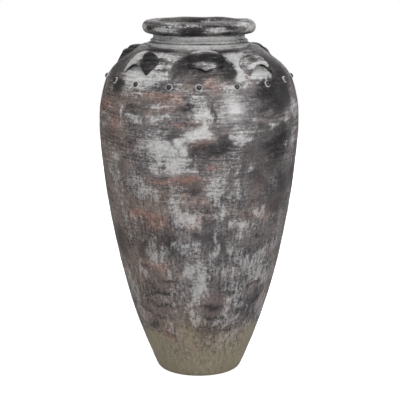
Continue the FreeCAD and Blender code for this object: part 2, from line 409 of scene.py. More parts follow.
def paint(azimuth: np.ndarray, height: np.ndarray, radius: np.ndarray) -> dict[str, np.ndarray]:
    """Lay every patch on points of the wall, one layer for each tone.

    Patches of a tone add up as veils do: what stays uncovered is the product of
    what each patch leaves. Waves move the places first, so that no edge is even.

    Args:
        azimuth: degrees of each point.
        height: metres of each point.
        radius: metres of the wall there.

    Returns:
        Each tone's name with its cover from 0 to 1.
    """
    layers = {}
    free = 1.0 - smooth(*EVEN_EDGES, height)
    fine = RAGGED_FINE.at(azimuth, height)
    sideways = (RAGGED_ASIDE.at(azimuth, height) + fine) / np.maximum(radius, LEAST_RADIUS)
    aside = azimuth + np.degrees(sideways) * free
    rise = height + (RAGGED_UP.at(azimuth, height) + fine) * free
    for tone, rows in PATCHES.items():
        left = np.ones(np.broadcast(azimuth, height).shape)
        by_hand = tuple(Patch(*row) for row in rows)
        for patch in sum((scatter.make(tone) for scatter in SCATTERS), by_hand):
            away = np.radians((aside - patch.along + 180.0) % 360.0 - 180.0)
            left *= 1.0 - np.clip(patch.cover(away * radius / MM, rise / MM - patch.up), 0.0, 1.0)
        layers[tone.value] = 1.0 - left
    return layers


def paint_loop(node: str, aside: np.ndarray, down: np.ndarray) -> dict[str, np.ndarray]:
    """Lay a strap loop's own patches on its points, the strongest one showing.

    Args:
        node: the loop's node.
        aside: metres of each point aside of the loop's middle.
        down: metres of each point down from its ridge.

    Returns:
        Each tone's name with its cover.
    """
    layers = {}
    for tone, rows in LOOP_PATCHES[node].items():
        patches = [Patch(*row) for row in rows]
        covers = [patch.cover(aside / MM - patch.along, down / MM - patch.up) for patch in patches]
        layers[tone.value] = np.max(covers, axis=0)
    return layers


@dataclass
class Surface:
    """A sheet of points on a grid, with what is painted on each point.

    Rows follow the section, columns go round. The columns always close on
    themselves; the rows close too where the sheet is a tube or a ring. A capped
    sheet is closed at both ends by fans to their middles.
    """

    name: str
    points: np.ndarray
    layers: dict[str, np.ndarray]
    rows_close: bool = False
    capped: bool = False

    def faces(self) -> list[list[int]]:
        """Join each point with its neighbours, and fan the open ends to their middles.

        Returns:
            The corners of each face, as numbers of points.
        """
        rows, columns = self.points.shape[:2]
        index = np.arange(rows * columns).reshape(rows, columns)
        lower = index if self.rows_close else index[:-1]
        upper = np.roll(index, -1, axis=0) if self.rows_close else index[1:]
        quads = np.stack([lower, np.roll(lower, -1, axis=1), np.roll(upper, -1, axis=1), upper], axis=-1)
        faces = quads.reshape(-1, 4).tolist()
        if self.capped:
            first, last = rows * columns, rows * columns + 1
            start, end = index[0], index[-1]
            faces += np.stack([np.roll(start, -1), start, np.full(columns, first)], axis=-1).tolist()
            faces += np.stack([end, np.roll(end, -1), np.full(columns, last)], axis=-1).tolist()
        return faces

    def build(self) -> bpy.types.Object:
        """Make the mesh object, its faces smooth and its painted layers as attributes.

        Returns:
            The object, linked to the scene.
        """
        grid = self.points.shape[:2]
        points = self.points.reshape(-1, 3)
        layers = {name: np.broadcast_to(values, grid).ravel() for name, values in self.layers.items()}
        if self.capped:
            points = np.vstack([points, self.points[0].mean(axis=0), self.points[-1].mean(axis=0)])
            layers = {name: np.append(values, values[[0, -1]]) for name, values in layers.items()}
        mesh = bpy.data.meshes.new(self.name)
        mesh.from_pydata(points.tolist(), [], self.faces())
        mesh.polygons.foreach_set("use_smooth", np.ones(len(mesh.polygons), dtype=bool))
        for name, values in layers.items():
            mesh.attributes.new(name, "FLOAT", "POINT").data.foreach_set("value", values.astype(np.float32))
        mesh.update()
        piece = bpy.data.objects.new(self.name, mesh)
        bpy.context.scene.collection.objects.link(piece)
        return piece


def settle(piece: bpy.types.Object, material: bpy.types.Material, slot: Slot, *nodes: str) -> None:
    """Dress a piece, ride it on the jar and let it stand for its nodes.

    Args:
        piece: the finished object.
        material: its finish.
        slot: the record's slot that the finish belongs to, which is not used.
        nodes: the nodes that it stands for.
    """
    piece.data.materials.append(material)
    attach(piece, "root")
    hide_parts(*nodes)
    LOG.info("%s: %d faces for %s", piece.name, len(piece.data.polygons), ", ".join(nodes))


@dataclass(frozen=True)
class Outline:
    """The wall's section, from the foot over the belly to the top of the shoulder.

    The shares place the ends of the arcs: how high up, and how far out towards
    the belly's radius.
    """

    foot_radius: float = 0.115
    heel_rounding: float = 0.014
    heel_steps: int = 6
    heel_flank_step: int = 8
    belly_radius: float = 0.279
    belly_height: float = 0.728
    shoulder_radius: float = 0.168
    shoulder_height: float = 0.927
    ledge_width: float = 0.0266
    below_belly_shares: tuple[tuple[float, float], ...] = ((0.88, 0.976), (0.33, 0.537), (0.0, 0.0))
    above_belly_shares: tuple[tuple[float, float], ...] = ((0.513, 0.85), (0.79, 0.5))
    arc_steps: int = 60
    slope_step: float = 1.5 * MM

    @property
    def ledge_radius(self) -> float:
        """Give the radius of the hollow's edge under the collar."""
        return self.shoulder_radius - self.ledge_width

    def arcs(self, way: complex, ends: list[complex]) -> np.ndarray:
        """Run arcs from the belly through some ends, each tangent to the last.

        Args:
            way: the direction in which the first arc leaves the belly.
            ends: where each arc ends.

        Returns:
            The points from the belly to the last end.
        """
        start = complex(self.belly_radius, self.belly_height)
        parts = [np.array([start])]
        for end in ends:
            points, way = tangent_arc(start, way, end, self.arc_steps)
            parts.append(points[1:])
            start = end
        return np.concatenate(parts)

    def wall(self) -> np.ndarray:
        """Give the outside from the foot's edge up to the shoulder's top.

        Arcs leave the belly straight down and straight up, and a straight slope
        runs on from the last arc to the collar.

        Returns:
            The points.
        """
        foot = complex(self.foot_radius, 0.0)
        top = complex(self.shoulder_radius, self.shoulder_height)
        width = self.belly_radius - self.foot_radius
        below = [foot + complex(width * out, self.belly_height * up) for up, out in self.below_belly_shares]
        width = self.belly_radius - self.shoulder_radius
        rise = self.shoulder_height - self.belly_height
        above = [top + complex(width * out, rise * (up - 1.0)) for up, out in self.above_belly_shares]
        return np.concatenate([self.arcs(-1j, below)[::-1], self.arcs(1j, above)[1:], [top]])

    def heel(self) -> np.ndarray:
        """Give the rounding between the ground and the flank.

        The flank's way is taken from the foot's edge to heel_flank_step.

        Returns:
            The points, from the ground up.
        """
        foot, above = self.wall()[[0, self.heel_flank_step]]
        start = foot - self.heel_rounding
        end = foot + (above - foot) / abs(above - foot) * self.heel_rounding
        return tangent_arc(start, 1.0 + 0j, end, self.heel_steps)[0]

    def on_slope(self, down: np.ndarray) -> tuple[np.ndarray, np.ndarray]:
        """Give points of the outline by their way down from the shoulder's top.

        Above the top the outline runs straight on.

        Args:
            down: metres along the outline from the shoulder's top.

        Returns:
            The points, and the outward unit normals there.
        """
        wall = evenly(self.wall(), self.slope_step)[::-1]
        run = run_along(wall)
        way = np.gradient(wall)
        normal = np.interp(down, run, 1j * way / np.abs(way))
        past = np.minimum(down, 0.0)
        return np.interp(down, run, wall) + past * way[0] / abs(way[0]), normal / np.abs(normal)


@dataclass
class JarBody:
    """The whole clay body in one skin: outside, flat top, hollow and floor."""

    outline: Outline
    columns: int = 384
    wall_thickness: float = 0.016
    floor_thickness: float = 0.024
    row_height: float = 5 * MM
    hollow_row_height: float = 25 * MM
    cap_radius: float = 12 * MM
    floor_rows: int = 8
    under_rows: int = 5
    free_from_foot: tuple[float, float] = (0.0, 0.06)
    fast_at_collar: tuple[float, float] = (0.9, 0.925)
    swell: Waves = Waves(seed=3, depth=0.35 * MM, most_around=9, shortest=0.06, longest=0.6)
    throwing: Waves = Waves(seed=8, depth=0.12 * MM, most_around=2, shortest=0.012, longest=0.03)

    def section(self) -> tuple[np.ndarray, np.ndarray, int]:
        """Give the closed section's points, and how free each one is to swell.

        Returns:
            Points from the underside's middle up the outside and down the hollow,
            1 on the outside easing to 0 at the ground and at the collar, and how
            many of the points lie outside.
        """
        wall = evenly(self.outline.wall(), self.row_height)
        heel = self.outline.heel()
        flank = wall[wall.imag > heel[-1].imag + self.row_height / 2]
        way = np.gradient(wall)
        inset = wall + 1j * way / np.abs(way) * self.wall_thickness
        inset = evenly(inset[inset.imag > self.floor_thickness], self.hollow_row_height)
        ledge = complex(self.outline.ledge_radius, self.outline.shoulder_height)
        hollow = np.append(inset[inset.imag < ledge.imag - self.wall_thickness], ledge)[::-1]
        floor = np.linspace(hollow[-1].real, self.cap_radius, self.floor_rows) + 1j * self.floor_thickness
        under = np.linspace(self.cap_radius, heel[0].real, self.under_rows, endpoint=False) + 0j
        outside = np.concatenate([under, heel, flank])
        free = smooth(*self.free_from_foot, outside.imag) * (1.0 - smooth(*self.fast_at_collar, outside.imag))
        inner = np.concatenate([hollow, floor])
        return np.append(outside, inner), np.append(free, np.zeros(len(inner))), len(outside)

    def surface(self) -> Surface:
        """Turn the section about the axis and move the outside by its swell.

        Returns:
            The body's closed skin.
        """
        section, free, outside = self.section()
        height, azimuth = np.broadcast_arrays(section.imag[:, None], all_round(self.columns, 360.0))
        swell = self.swell.at(azimuth, height) + self.throwing.at(azimuth, height)
        radius = section.real[:, None] + free[:, None] * swell
        layers = paint(azimuth, height, radius)
        layers["inside"] = np.where(np.arange(len(section)) < outside, 0.0, 1.0)[:, None]
        return Surface("JarBody", turned(azimuth, radius, height), layers, capped=True)

    def build(self, material: bpy.types.Material) -> None:
        """Make the body over the floor and the three wall sections."""
        settle(self.surface().build(), material, Slot.WALL, *WALL_NODES)


@dataclass
class TurnedRing:
    """A closed section turned about the axis, uneven and tilted as the hand left it.

    The tilt is in radians and lifts the front about the jar's axis. It comes in
    over tilt_rise of height, from level_to up.
    """

    name: str
    section: np.ndarray
    swell: Waves
    tilt: float
    level_to: float = 0.0
    tilt_rise: float = 6 * MM
    columns: int = 256
    spacing: float = 1.6 * MM

    def surface(self) -> Surface:
        """Turn the section, swell it square to its skin and tilt the whole ring.

        Returns:
            The ring's closed skin.
        """
        rows = evenly(np.append(self.section, self.section[0]), self.spacing)[:-1]
        way = np.roll(rows, -1) - np.roll(rows, 1)
        normal = -1j * way / np.abs(way)
        share = np.linspace(0.0, 1.0, len(rows), endpoint=False)[:, None]
        azimuth, share = np.broadcast_arrays(all_round(self.columns, 360.0), share)
        place = rows[:, None] + normal[:, None] * self.swell.at(azimuth, share)
        lift = self.tilt * place.real * np.cos(np.radians(azimuth))
        lift *= smooth(self.level_to, self.level_to + self.tilt_rise, place.imag)
        layers = paint(azimuth, place.imag, place.real)
        return Surface(self.name, turned(azimuth, place.real, place.imag + lift), layers, rows_close=True)


def rounded(corners: list[tuple[float, float, float]], steps: int = 6) -> np.ndarray:
    """Round the corners of a closed section with quadratic curves.

    Args:
        corners: radius and height of each corner, with the length that its
            rounding takes of each side.
        steps: how many points each rounding gets.

    Returns:
        The section's points.
    """
    places = [complex(radius, height) for radius, height, length in corners]
    share = np.linspace(0.0, 1.0, steps)
    points = []
    for number, corner in enumerate(places):
        before, after = places[number - 1], places[(number + 1) % len(places)]
        start = corner + (before - corner) / abs(before - corner) * corners[number][2]
        end = corner + (after - corner) / abs(after - corner) * corners[number][2]
        points.append((1 - share) ** 2 * start + 2 * share * (1 - share) * corner + share ** 2 * end)
    return np.concatenate(points)


@dataclass
class Mouth:
    """The collar, the neck and the rolled rim, one above the other."""

    outline: Outline
    mouth_radius: float = 0.113
    neck_radius: float = 0.128
    rim_radius: float = 0.158
    rim_bottom: float = 0.964
    rim_top: float = 1.0
    lip_rounding: float = 14 * MM
    lip_steps: int = 8
    roll_steps: int = 24
    tilt: float = 0.034
    skirt_outset: float = 0.6 * MM
    bead_outset: float = 13 * MM
    groove_outset: float = 3 * MM
    flare_rise: float = 15.5 * MM
    collar_swell: Waves = Waves(seed=11, depth=0.5 * MM, most_around=14, shortest=0.3, longest=1.5)
    neck_swell: Waves = Waves(seed=12, depth=0.4 * MM, most_around=12, shortest=0.3, longest=1.5)
    rim_swell: Waves = Waves(seed=13, depth=0.45 * MM, most_around=9, shortest=0.4, longest=2.0)

    def collar(self) -> TurnedRing:
        """Shape the collar: a skirt that runs on from the shoulder's slope, and the bead.

        Returns:
            The ring, level where it meets the wall.
        """
        top = self.outline.shoulder_height
        skirt = self.outline.shoulder_radius + self.skirt_outset
        bead = self.neck_radius + self.bead_outset
        section = rounded([
            (self.mouth_radius, top + 1.5 * MM, 1 * MM),
            (self.outline.ledge_radius, top, 1 * MM),
            (skirt, top - 1 * MM, 0.5 * MM),
            (skirt - 9 * MM, top + 3.4 * MM, 4 * MM),
            (bead + 0.5 * MM, top + 4.8 * MM, 1 * MM),
            (bead + 2.5 * MM, top + 8 * MM, 2.2 * MM),
            (bead - 1.5 * MM, top + 12.5 * MM, 2.2 * MM),
            (bead - 7 * MM, top + 9.5 * MM, 1.5 * MM),
            (self.mouth_radius, top + 8 * MM, 1 * MM),
        ])
        return TurnedRing("CollarRing", section, self.collar_swell, self.tilt, level_to=top + 3 * MM)

    def neck(self) -> TurnedRing:
        """Shape the neck, flared at its foot over the groove and the bead.

        Returns:
            The ring.
        """
        groove = self.neck_radius + self.groove_outset
        foot = self.outline.shoulder_height + self.flare_rise
        section = rounded([
            (self.mouth_radius, foot - 10 * MM, 1 * MM),
            (groove, foot - 10 * MM, 1 * MM),
            (groove, foot - 1.5 * MM, 1 * MM),
            (self.neck_radius + 8.4 * MM, foot, 1.4 * MM),
            (self.neck_radius + 7.4 * MM, foot + 4 * MM, 2 * MM),
            (self.neck_radius, foot + 8.5 * MM, 3 * MM),
            (self.neck_radius, self.rim_bottom + 6 * MM, 1 * MM),
            (self.mouth_radius, self.rim_bottom + 6 * MM, 1 * MM),
        ])
        return TurnedRing("Neck", section, self.neck_swell, self.tilt)

    def rim(self) -> TurnedRing:
        """Shape the thick rolled rim: a half circle outside, a quarter circle at the lip.

        Returns:
            The ring.
        """
        half = (self.rim_top - self.rim_bottom) / 2
        roll = complex(self.rim_radius - half, self.rim_bottom + half)
        outer = roll + half * np.exp(1j * np.linspace(-0.5 * np.pi, 0.5 * np.pi, self.roll_steps + 1))
        lip = complex(self.mouth_radius, self.rim_top) + (1 - 1j) * self.lip_rounding
        inner = lip + self.lip_rounding * np.exp(1j * np.linspace(0.5 * np.pi, np.pi, self.lip_steps + 1))
        section = np.concatenate([outer, inner, [complex(self.mouth_radius, self.rim_bottom)]])
        return TurnedRing("RolledRim", section, self.rim_swell, self.tilt)

    def build(self, pale: bpy.types.Material, wall: bpy.types.Material) -> None:
        """Make the three rings over their nodes.

        Args:
            pale: the finish of the neck and the rim.
            wall: the finish of the collar.
        """
        settle(self.collar().surface().build(), wall, Slot.WALL, "collar_ring")
        settle(self.neck().surface().build(), pale, Slot.PALE, "neck")
        settle(self.rim().surface().build(), pale, Slot.PALE, "rolled_rim")


@dataclass
class StrapLoop:
    """One loop of clay strap, arched over the slope with its feet on the wall.

    A point of it is so far aside of the loop's middle, so far down the slope from
    its ridge and so high over the wall. Seen square to the slope the strap is the
    crescent between two circles, and down the slope it rises gently to the ridge,
    falls into a hollow and curls out again at the lip. The hand's unevenness moves
    it by so many parts of hand_depth down the slope and out.
    """

    name: str
    node: str
    azimuth: float
    seed: int
    ridge_down: float = 33.3 * MM
    half_span: float = 63 * MM
    stand: float = 21 * MM
    arch_radius: float = 86 * MM
    crescent_radius: float = 66 * MM
    crescent_rise: float = 21 * MM
    lip_radius: float = 52 * MM
    lip_down: float = 28 * MM
    tongue: float = 0.0
    tongue_width: float = 30 * MM
    foot_reach: float = 62 * MM
    foot_blur: float = 6 * MM
    thickness: float = 10 * MM
    shelf_slope: float = 0.34
    lip_slope: float = 0.10
    ridge_rounding: float = 7 * MM
    hollow_depth: float = 4 * MM
    hollow_down: float = 11 * MM
    hollow_width: float = 7 * MM
    curl_height: float = 3.5 * MM
    curl_width: float = 6 * MM
    curl_inset: float = 4 * MM
    curl_span: float = 34 * MM
    section_power: float = 2.8
    hand_depth: float = 0.8 * MM
    hand_down: float = 0.6
    hand_out: float = 0.5
    least_radius: float = 0.12
    along_count: int = 110
    round_count: int = 56

    def edges(self, aside: np.ndarray) -> tuple[np.ndarray, np.ndarray]:
        """Give how far down the upper and the lower edge of the strap lie.

        The upper edge is a circle's arc. The lower one is the lip's circle, which
        gives way to the feet's reach by a smooth minimum. A tongue hangs from its
        middle as a bell curve.

        Args:
            aside: metres aside of the loop's middle.

        Returns:
            Metres down from the ridge to the upper edge, and to the lower one.
        """
        upper = self.crescent_radius - self.crescent_rise - np.sqrt(self.crescent_radius ** 2 - aside ** 2)
        # Beyond the ends of the lip's circle a tenth of a millimetre stands for its half chord.
        hollow = np.sqrt(np.maximum(self.lip_radius ** 2 - aside ** 2, (0.1 * MM) ** 2))
        reaches = (self.lip_down + self.lip_radius - hollow, self.foot_reach)
        lower = -self.foot_blur * np.log(sum(np.exp(-reach / self.foot_blur) for reach in reaches))
        lower += self.tongue * bell(aside, self.tongue_width)
        return upper, np.maximum(lower, upper + self.thickness)

    def height(self, aside: np.ndarray, down: np.ndarray) -> np.ndarray:
        """Give the height of the strap's outside over the wall.

        Two slopes meet at the ridge over a rounding, the arch falls away to both
        sides as a circle does, and the hollow and the lip's curl are bell curves.

        Args:
            aside: metres aside of the loop's middle.
            down: metres down from the ridge.

        Returns:
            Metres over the wall.
        """
        bend = np.hypot(down, self.ridge_rounding) - self.ridge_rounding
        fall = (self.shelf_slope + self.lip_slope) / 2 * bend - (self.shelf_slope - self.lip_slope) / 2 * down
        arch = self.arch_radius - np.sqrt(self.arch_radius ** 2 - aside ** 2)
        hollow = self.hollow_depth * bell(down - self.hollow_down, self.hollow_width)
        curl_down = self.lip_down + self.tongue - self.curl_inset
        curl = self.curl_height * bell(down - curl_down, self.curl_width)
        return self.stand - fall - arch + bell(aside, self.curl_span, power=4) * (curl - hollow)

    def surface(self, outline: Outline) -> Surface:
        """Sweep a rounded section along the arch and close both ends in the wall.

        The section is a superellipse, |x|^p + |y|^p = 1 with the section's power p,
        x from the upper edge to the lower one and y through the strap's thickness.

        Args:
            outline: the wall that the loop stands on.

        Returns:
            The loop's closed skin.
        """
        share = np.linspace(-1.0, 1.0, self.along_count)[:, None]
        share, turn = np.broadcast_arrays(share, all_round(self.round_count, 2 * np.pi))
        across, over = (np.sign(wave) * np.abs(wave) ** (2.0 / self.section_power)
                        for wave in (np.cos(turn), np.sin(turn)))
        aside = self.half_span * share
        upper, lower = self.edges(aside)
        hand = Waves(self.seed, self.hand_depth, most_around=3, shortest=0.5, longest=2.0, count=14)
        uneven = hand.at(np.degrees(turn), share)
        down = (upper + lower) / 2 + across * (lower - upper) / 2 + uneven * self.hand_down
        lift = self.height(aside, down) - self.thickness / 2 * (1.0 - over) + uneven * self.hand_out
        place, normal = outline.on_slope(self.ridge_down + down)
        place = place + normal * lift
        azimuth = self.azimuth + np.degrees(aside / np.maximum(place.real, self.least_radius))
        points = turned(azimuth, place.real, place.imag)
        return Surface(self.name, points, paint_loop(self.node, aside, down), capped=True)

    def build(self, outline: Outline, material: bpy.types.Material) -> None:
        """Make the loop over its node."""
        settle(self.surface(outline).build(), material, Slot.DARK, self.node)


LOOPS = (
    StrapLoop("LugFront", "lug_front", azimuth=5.0, seed=60, ridge_down=17 * MM, stand=14 * MM,
              crescent_radius=80 * MM, crescent_rise=25 * MM, arch_radius=110 * MM, shelf_slope=0.28,
              lip_down=22 * MM, tongue=33 * MM, foot_reach=60 * MM),
    StrapLoop("LugFrontRight", "lug_front_right", azimuth=45.0, seed=61, ridge_down=45 * MM, stand=20 * MM,
              shelf_slope=0.5, lip_down=25 * MM, lip_radius=46 * MM, foot_reach=50 * MM),
    StrapLoop("LugBackRight", "lug_back_right", azimuth=127.0, seed=62, ridge_down=36 * MM, shelf_slope=0.62),
    StrapLoop("LugBack", "lug_back", azimuth=180.0, seed=63),
    StrapLoop("LugBackLeft", "lug_back_left", azimuth=-115.0, seed=64, ridge_down=36 * MM, shelf_slope=0.62),
    StrapLoop("LugFrontLeft", "lug_front_left", azimuth=-47.0, seed=65, ridge_down=35 * MM, lip_down=36 * MM),
)


@dataclass
class Pellets:
    """The ring of clay pellets, each a dome in a thin raised ring of pale slip."""

    outline: Outline
    down: float = 0.1202
    seed: int = 23
    place_spread: float = 0.8 * MM
    radius: float = 7.2 * MM
    lift: float = 6.5 * MM
    dome_power: float = 0.8
    ring_radius: float = 8.6 * MM
    ring_height: float = 1.8 * MM
    ring_width: float = 1 * MM
    reach: float = 10.4 * MM
    oval: float = 0.04
    sunk_from: float = 9.3 * MM
    sunk_by: float = 2 * MM
    under_depth: float = 4 * MM
    under_share: float = 0.6
    slip_outset: float = 0.4 * MM
    slip_width: float = 1.5 * MM
    slip_strengths: tuple[float, float] = (1.1, 1.6)
    slip_lean: float = 0.3
    soot_edge: float = 0.4
    middle_share: float = 0.04
    rows: int = 16
    columns: int = 32

    def surface(self, azimuth: float, number: int) -> Surface:
        """Make one pellet: a dome over the wall, with its ring as a low swell at the foot.

        Args:
            azimuth: where it sits.
            number: which one it is, which sets how the hand left it.

        Returns:
            A closed cap, its underside sunk in the wall.
        """
        draw = np.random.default_rng(self.seed + number)
        shift = draw.normal(0.0, self.place_spread, 2)
        place, normal = self.outline.on_slope(np.array(self.down + shift[0]))
        out = turned(np.array(azimuth), normal.real, normal.imag)
        side = facing(np.array(azimuth + 90.0))
        centre = turned(np.array(azimuth), place.real, place.imag) + side * shift[1]
        turn = all_round(self.columns, 2 * np.pi)
        # The pellet is a little oval, and the oval lies at a random turn.
        reach = self.reach * (1.0 + self.oval * np.cos(2 * turn + draw.uniform(0, 6)))
        reach = reach * np.linspace(self.middle_share, 1.0, self.rows)[:, None]
        dome = np.clip(1.0 - (reach / self.radius) ** 2, 0.0, 1.0) ** (self.dome_power / 2)
        ring = self.ring_height * bell(reach - self.ring_radius, self.ring_width)
        height = np.maximum(dome * self.lift, ring) - self.sunk_by * smooth(self.sunk_from, self.reach, reach)
        around = np.cos(turn)[..., None] * side + np.sin(turn)[..., None] * np.cross(side, out)
        points = centre + reach[..., None] * around + height[..., None] * out
        under = centre - out * self.under_depth + self.under_share * (points[-1] - centre)
        slip = bell(reach - self.ring_radius - self.slip_outset, self.slip_width)
        slip = slip * draw.uniform(*self.slip_strengths) * (1.0 - self.slip_lean * np.sin(turn))
        soot = smooth(0.0, self.soot_edge, dome)
        points = np.concatenate([points, under[None]])[::-1]
        layers = {
            Tone.PALE.value: np.vstack([slip, slip[-1:]])[::-1],
            Tone.SOOT.value: np.vstack([soot, 0.0 * soot[-1:]])[::-1],
        }
        return Surface(f"Pellet{number:02d}", points, layers, capped=True)

    def build(self, material: bpy.types.Material) -> None:
        """Make all the pellets as one piece over their node.

        Args:
            material: their finish.
        """
        made = [self.surface(azimuth, number).build() for number, azimuth in enumerate(PELLET_AZIMUTHS)]
        with bpy.context.temp_override(active_object=made[0], selected_editable_objects=made):
            bpy.ops.object.join()
        made[0].name = "Pellets"
        made[0].data.name = "Pellets"
        settle(made[0], material, Slot.DARK, "pellets")


def colour(code: str) -> tuple[float, float, float, float]:
    """Turn an sRGB hex code into the linear colour that the shaders work in.

    Args:
        code: a hash and six hex digits.

    Returns:
        Red, green, blue and an alpha of 1.
    """
    shares = [int(code[start:start + 2], 16) / 255.0 for start in (1, 3, 5)]
    linear = [share / 12.92 if share <= 0.04045 else ((share + 0.055) / 1.055) ** 2.4 for share in shares]
    return (*linear, 1.0)


WHITE = colour("#ffffff")
# Places along a colour ramp with the colour at each, in order.
Stops = tuple[tuple[float, str], ...]


class NodeTree:
    """The node tree of a material or a world, and the one way of adding a node to it."""

    def __init__(self, owner: bpy.types.Material | bpy.types.World) -> None:
        """Start the owner's tree without any node.

        Args:
            owner: the material or the world.
        """
        owner.use_nodes = True
        self.tree = owner.node_tree
        self.tree.nodes.clear()

    def add(self, kind: str, inputs: dict[int | str, object], output: int | str = 0,
            stops: Stops = (), **settings: object) -> bpy.types.NodeSocket | None:
        """Add one node, set it up, and link or set its inputs.

        Args:
            kind: the node's type, without its prefix.
            inputs: each input's name or number with a socket to link or a value.
            output: the name or number of the output that is wanted.
            stops: the colours of a colour ramp.
            settings: the node's own settings.

        Returns:
            The wanted output, or None where the node has no output.
        """
        node = self.tree.nodes.new("ShaderNode" + kind)
        for key, value in settings.items():
            setattr(node, key, value)
        for key, value in inputs.items():
            if isinstance(value, bpy.types.NodeSocket):
                self.tree.links.new(value, node.inputs[key])
            else:
                node.inputs[key].default_value = value
        while stops and len(node.color_ramp.elements) < len(stops):
            node.color_ramp.elements.new(0.5)
        for number, (place, code) in enumerate(stops):
            node.color_ramp.elements[number].position = place
            node.color_ramp.elements[number].color = colour(code)
        return node.outputs[output] if len(node.outputs) else None


class Pattern(Enum):
    """The noises of the finish.

    Each has the length of its marks along x, y and z in millimetres, how many finer
    layers it has, how strong they are, and metres by which it is moved, so that no
    two are alike. The real grain, bristle marks and specks are about 1 mm, which is
    too fine to show, so they are drawn coarser, 3 to 8 mm wide.
    """

    LEVEL_BRISTLES = ((62, 62, 5), 5.0, 0.62, 0.0)
    UPRIGHT_BRISTLES = ((7, 7, 90), 4.0, 0.62, 3.1)
    GRAIN = ((8, 8, 7), 5.0, 0.78, 1.7)
    SPECKS = ((3.2, 3.2, 3.0), 2.0, 0.6, 5.3)
    CLOUDS = ((80, 80, 55), 4.0, 0.58, 7.9)
    DRIFTS = ((45, 45, 80), 4.0, 0.6, 11.3)


@dataclass(frozen=True)
class Mix:
    """Shares of the grain, of the brush and of one more noise that make one pattern."""

    grain: float
    brush: float
    other: Pattern
    other_share: float


@dataclass(frozen=True)
class Wash:
    """One wash of the finish: a soft veil, with crisp marks where the brush skips.

    It begins where its painted layer, its drift and the marks add up to starts. Skips
    is the share of the crisp marks in its cover, and hides is how opaque it is. Thins
    changes that on the lower wall, and over_soot is what the soot adds to its layer.
    """

    tone: Tone
    stops: Stops
    starts: float
    skips: float
    hides: float
    drift: Pattern = Pattern.CLOUDS
    thins: float = 0.0
    over_soot: float = 0.0


WASHES = (
    Wash(Tone.EARTH, ((0.38, "#3f3430"), (0.5, "#75665d"), (0.64, "#a59789")),
         starts=0.52, skips=0.2, hides=0.75),
    Wash(Tone.RUST, ((0.36, "#5d4540"), (0.5, "#916f66"), (0.64, "#b9998e")),
         starts=0.56, skips=0.1, hides=0.9),
    Wash(Tone.SOOT, ((0.42, "#0a0a0b"), (0.52, "#1d1c1e"), (0.62, "#585658")),
         starts=0.58, skips=0.5, hides=0.92),
    Wash(Tone.PALE, ((0.38, "#a1a1a1"), (0.5, "#c1c1c0"), (0.62, "#dcdcdc")),
         starts=0.56, skips=0.5, hides=0.95, drift=Pattern.DRIFTS, thins=-0.36, over_soot=-0.3),
)


